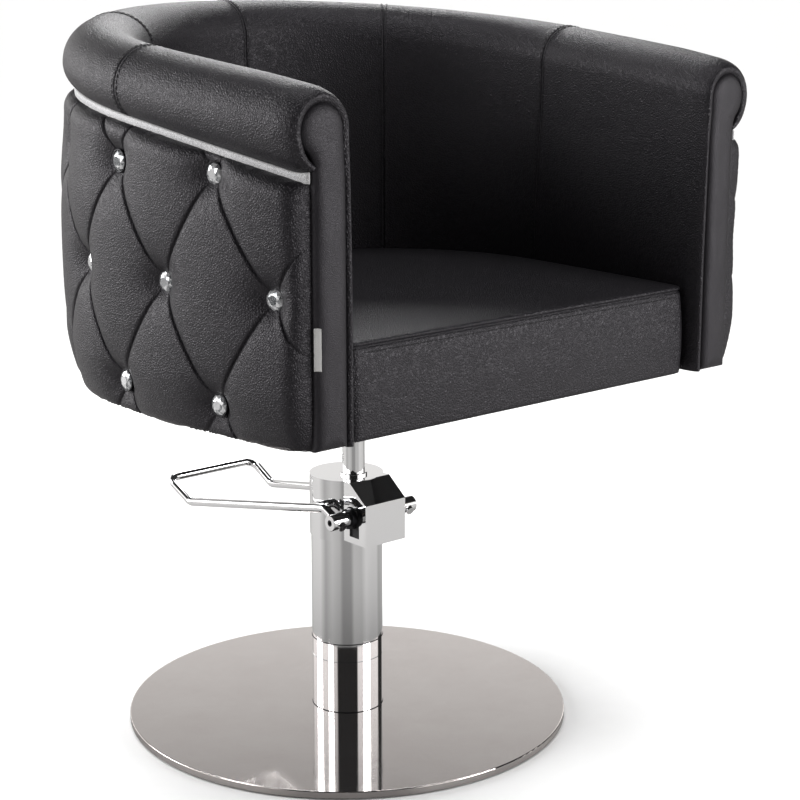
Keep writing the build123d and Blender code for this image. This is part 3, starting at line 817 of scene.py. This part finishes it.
def seat_cushion():
    """Box cushion: bulging border, seam with a small rolled rim, and a crowned top."""
    edge, away = cushion_edge()
    frontness = smooth(0.5, 1.0, -away[:, 1])
    foot = CUSHION_FOOT + (FRONT_BOTTOM - CUSHION_FOOT) * smooth(-0.27, -0.30, edge[:, 1])
    seam_z = CUSHION_TOP - 0.0062
    rows = []
    for share, inset in ((0.0, 0.012), (0.0, 0.004)) + tuple((row, 0.0) for row in BORDER_ROWS):
        bulge = 0.0050 * math.sin(math.pi * min(1.0, share * 0.93 + 0.04)) ** 0.7 - 0.0035 - inset
        flare = 0.003 * (1 - share) ** 2 * frontness
        rows.append(np.column_stack([edge + away * (bulge + flare)[:, None], foot + (seam_z - foot) * share]))
    for inset, lift in RIM_ROWS:
        rows.append(np.column_stack([edge - away * inset, np.full(len(edge), seam_z + lift)]))
    rim = rows[-1][:, :2]
    middle = np.array([0.0, -0.08])
    for share in TOP_ROWS:
        flat = rim + (middle - rim) * share
        crown = CROWN * (1 - (1 - share) ** 2.2)
        sag = 0.0006 * np.sin(flat[:, 0] * 34) * np.sin(flat[:, 1] * 29 + 1) * min(1, share * 4) * (share < 1)
        rows.append(np.column_stack([flat, seam_z + RIM_ROWS[-1][1] + crown + sag]))
    piece = close_ends(grid_object("seat_cushion_leather", np.array(rows), black, close_columns=True))
    return finish_piece(piece, "seat", "black_leather", "seat_cushion")


def dust_cover():
    """Thin black lining under the seat with a square opening around the bracket, sagging a little."""
    low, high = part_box("dust_cover")
    bracket_low, bracket_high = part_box("seat_bracket")
    reach = QUARTER + TUB_CENTRE_Y - low.y
    x, y, _, _ = outline(np.linspace(reach, -reach, 220), *LINING)
    front_x = np.linspace(float(x[-1]), float(x[0]), 60)[1:-1]
    edge = np.concatenate([np.stack([x, y], -1), np.stack([front_x, np.full(len(front_x), low.y)], -1)])
    middle = np.array([0.0, (bracket_low.y + bracket_high.y) / 2])
    half = bracket_high.x + 0.002
    away = edge - middle
    hole = middle + away / np.abs(away).max(axis=1, keepdims=True) * half
    rows = []
    for share in np.linspace(0, 1, 18):
        flat = edge + (hole - edge) * share
        ripple = 0.0003 * np.sin(flat[:, 0] * 70) * np.sin(flat[:, 1] * 55)
        sag = (0.0012 + ripple) * math.sin(math.pi * share)
        rows.append(np.column_stack([flat, low.z + 0.0004 - sag]))
    piece = grid_object("dust_cover_cloth", np.array(rows), lining, close_columns=True)
    thick = piece.modifiers.new("body", "SOLIDIFY")
    thick.thickness = 0.0006
    return finish_piece(piece, "seat", "lining", "dust_cover")


# ---------------------------------------------------------------- stitching

def stitch_mesh(name, places, length=0.0042, width=0.0009):
    """Short raised threads; each place is a point, the direction of the thread and the surface normal."""
    ring, rows = 6, (0.0, 0.12, 0.5, 0.88, 1.0)
    vertices, faces = [], []
    for point, direction, normal in places:
        direction = Vector(direction).normalized()
        normal = Vector(normal).normalized()
        side = direction.cross(normal).normalized()
        start = len(vertices)
        for share in rows:
            fat = width * 0.5 * (0.35 + 0.65 * math.sin(math.pi * min(max(share, 0.08), 0.92)))
            for step in range(ring):
                turn = 2 * math.pi * step / ring
                spot = (Vector(point) + direction * (share - 0.5) * length
                        + side * math.cos(turn) * fat + normal * (math.sin(turn) * fat * 0.8))
                vertices.append(spot)
        faces += [tuple(start + i for i in face) for face in grid_faces(len(rows), ring, close_columns=True)]
    piece = close_ends(new_object(name, vertices, faces, thread))
    return finish_piece(piece, "seat", "black_leather")


def seam_stitches():
    """Two rows of thread beside every vertical seam, up the wall and over the roll."""
    places = []
    for seam in SEAM_PLACES:
        for shift in (-0.0042, 0.0042):
            spots, outward = section(seam + shift)
            travelled, due = 0.0, 0.0
            for row in range(12, len(spots)):
                before, after = Vector(spots[row - 1]), Vector(spots[row])
                length = (after - before).length
                while due < travelled + length:
                    point = before.lerp(after, (due - travelled) / length)
                    normal = Vector(outward[row])
                    places.append((point + normal * 0.0006, after - before, normal))
                    due += 0.0060
                travelled += length
    return stitch_mesh("seam_stitches_thread", places)


def cushion_stitches():
    """One row of thread just under the cushion's front top edge."""
    places = []
    for x in np.arange(-0.232, 0.2321, 0.0058):
        places.append(((x, CUSHION_FRONT_Y - 0.0012, CUSHION_TOP - 0.0112), (1, 0, 0), (0, -1, 0)))
    return stitch_mesh("cushion_stitches_thread", places)


# ---------------------------------------------------------------- stage

# Brightness seen in reflections, by direction around the chair: 0 is toward the camera, 90 is image right
BACKDROP_TURN = math.radians(129.1)
PANEL_LEVELS = ((-180, 0.58), (-150, 0.58), (-144, 1.0), (-72, 1.0), (-62, 0.75), (-36, 0.75), (-31, 0.01),
                (31, 0.01), (35, 1.0), (117, 1.0), (121, 0.02), (150, 0.02), (154, 0.66), (180, 0.58))
# Floor colour seen by all but camera rays, by direction around the chair: painted shade, darkest toward the
# camera.
FLOOR_PAINTED_SHADE = ((-180, 0.30), (-150, 0.30), (-130, 0.36), (-92, 0.36), (-70, 0.20), (-46, 0.30), (-22, 0.28),
                (-12, 0.17), (12, 0.17), (22, 0.30), (46, 0.26), (62, 0.36), (108, 0.36), (120, 0.24),
                (180, 0.30))
CEILING = 0.02
CEILING_RISE = (0.27, 0.50)        # the panels fade into the dark ceiling between these upward slopes
ROOM = 1.5                         # strength of the world; the camera sees the backdrop at strength 1
FLOOR_WASH = 3.0


def wire(tree, kind, inputs=None, **settings):
    """One node with its inputs set or linked."""
    made = tree.nodes.new(kind)
    for key, value in settings.items():
        setattr(made, key, value)
    for key, value in (inputs or {}).items():
        if isinstance(value, bpy.types.NodeSocket):
            tree.links.new(value, made.inputs[key])
        else:
            made.inputs[key].default_value = value
    return made


def tone_around(tree, direction, levels):
    """Grey level by compass direction around the chair, and the upward part of the direction."""
    turned = wire(tree, "ShaderNodeVectorRotate", {"Vector": direction, "Angle": BACKDROP_TURN},
                  rotation_type="Z_AXIS").outputs[0]
    parts = wire(tree, "ShaderNodeSeparateXYZ", {0: turned}).outputs
    angle = wire(tree, "ShaderNodeMath", {0: parts[1], 1: parts[0]}, operation="ARCTAN2").outputs[0]
    share = wire(tree, "ShaderNodeMapRange", {0: angle, 1: -math.pi, 2: math.pi, 3: 0.0, 4: 1.0}).outputs[0]
    panels = wire(tree, "ShaderNodeValToRGB", {0: share})
    stops = panels.color_ramp.elements
    stops.remove(stops[1])
    for number, (degrees, level) in enumerate(levels):
        stop = stops[0] if number == 0 else stops.new((degrees + 180) / 360)
        stop.color = (level, level * 0.985, level * 0.965, 1)
    return panels.outputs[0], parts[2]


def studio():
    """Large pale paper floor, kept bright by a wide soft lamp that reaches nothing else; for all but camera
    rays its colour is painted shade, darker by direction around the chair.
    """
    mesh = bpy.data.meshes.new("floor")
    size, level = 30.0, -0.0004
    corners = [(-size, -size, level), (size, -size, level), (size, size, level), (-size, size, level)]
    mesh.from_pydata(corners, [], [(0, 1, 2, 3)])
    floor = bpy.data.objects.new("studio_floor", mesh)
    shade = Shader("floor_paper")
    speck = shade.noise(shade.place(), 30.0, 3.0)
    paper = shade.mix(speck, (0.90, 0.90, 0.90, 1), (0.93, 0.93, 0.93, 1))
    # Painted shade: reflections and bounce light see the floor darker, by sector around the chair.
    painted_floor_shade = tone_around(shade.tree, shade.place(), FLOOR_PAINTED_SHADE)[0]
    seen = shade.node("ShaderNodeLightPath").outputs["Is Camera Ray"]
    shade.set(Base_Color=shade.mix(seen, painted_floor_shade, paper), Roughness=0.9)
    mesh.materials.append(shade.material)
    bpy.context.scene.collection.objects.link(floor)
    wash = bpy.data.lights.new("floor_wash", "SUN")
    wash.energy = FLOOR_WASH
    wash.angle = math.radians(60)
    holder = bpy.data.objects.new("floor_wash", wash)
    bpy.context.scene.collection.objects.link(holder)
    lit_only = bpy.data.collections.new("floor_only")
    lit_only.objects.link(floor)
    holder.light_linking.receiver_collection = lit_only


# Name, place, target, width and height, power
SOFTBOXES = (
    ("key", (-1.55, 2.0, 1.25), (-0.2, 0, 0.7), (1.2, 1.5), 30),
    ("left_fill", (-2.4, 0.2, 1.3), (-0.2, 0, 0.7), (0.8, 1.2), 13),
    ("front", (1.3, -2.6, 0.95), (0.1, 0, 0.5), (1.3, 0.9), 31),
    ("rim", (1.2, 1.5, 1.75), (0, 0, 0.8), (1.3, 0.5), 16),
    ("top", (0.1, 0.1, 2.6), (0, 0, 0.6), (1.4, 1.4), 16),
)


def softbox(name, place, target, size, power):
    """Rectangular area lamp aimed at a point."""
    lamp = bpy.data.lights.new(name, "AREA")
    lamp.shape = "RECTANGLE"
    lamp.size, lamp.size_y = size
    lamp.energy = power
    holder = bpy.data.objects.new(name, lamp)
    holder.location = place
    aim = Vector(target) - Vector(place)
    holder.rotation_euler = aim.to_track_quat("-Z", "Y").to_euler()
    bpy.context.scene.collection.objects.link(holder)


def surroundings():
    """White backdrop for the camera; reflections see grey, white and black panels around the chair."""
    world = bpy.data.worlds.new("studio")
    bpy.context.scene.world = world
    world.use_nodes = True
    tree = world.node_tree
    tree.nodes.clear()
    direction = wire(tree, "ShaderNodeTexCoord").outputs["Generated"]
    panels, rise = tone_around(tree, direction, PANEL_LEVELS)
    low, high = CEILING_RISE
    height = wire(tree, "ShaderNodeMapRange", {0: rise, 1: low, 2: high, 3: 0.0, 4: 1.0}).outputs[0]
    room = wire(tree, "ShaderNodeMix", {0: height, 6: panels, 7: (CEILING, CEILING, CEILING, 1)},
                data_type="RGBA").outputs[2]
    seen = wire(tree, "ShaderNodeLightPath").outputs["Is Camera Ray"]
    shown = wire(tree, "ShaderNodeMix", {0: seen, 6: room, 7: (1 / ROOM, 1 / ROOM, 1 / ROOM, 1)},
                 data_type="RGBA").outputs[2]
    background = wire(tree, "ShaderNodeBackground", {"Color": shown, "Strength": ROOM})
    wire(tree, "ShaderNodeOutputWorld", {"Surface": background.outputs[0]})


CAMERA_PLACE = (-1.4616, -1.7988, 0.9603)
CAMERA_DOWN = 13.53                # degrees below the horizon
CAMERA_TURN = -40.74
CAMERA_LENS = 87.3
SENSOR = 36.0


def camera():
    """Camera of the main view."""
    lens = bpy.data.cameras.new("camera")
    lens.lens = CAMERA_LENS
    lens.sensor_width = SENSOR
    lens.clip_end = 100.0
    holder = bpy.data.objects.new("camera", lens)
    holder.location = CAMERA_PLACE
    holder.rotation_euler = (math.radians(90 - CAMERA_DOWN), 0, math.radians(CAMERA_TURN))
    bpy.context.scene.collection.objects.link(holder)
    bpy.context.scene.camera = holder


def build():
    """Everything in the scene, in the order the random draws need."""
    finish_cad_nodes()
    painted_joint_shadows()
    outer_panel()
    inside_and_roll()
    for side in (-1, 1):
        arm_facing(side)
    roll_piping()
    crystal_buttons()
    button_settings()
    side_tag()
    seat_cushion()
    dust_cover()
    seam_stitches()
    cushion_stitches()
    studio()
    surroundings()
    for lamp in SOFTBOXES:
        softbox(*lamp)
    camera()
    bpy.context.scene.view_settings.view_transform = "Standard"


build()
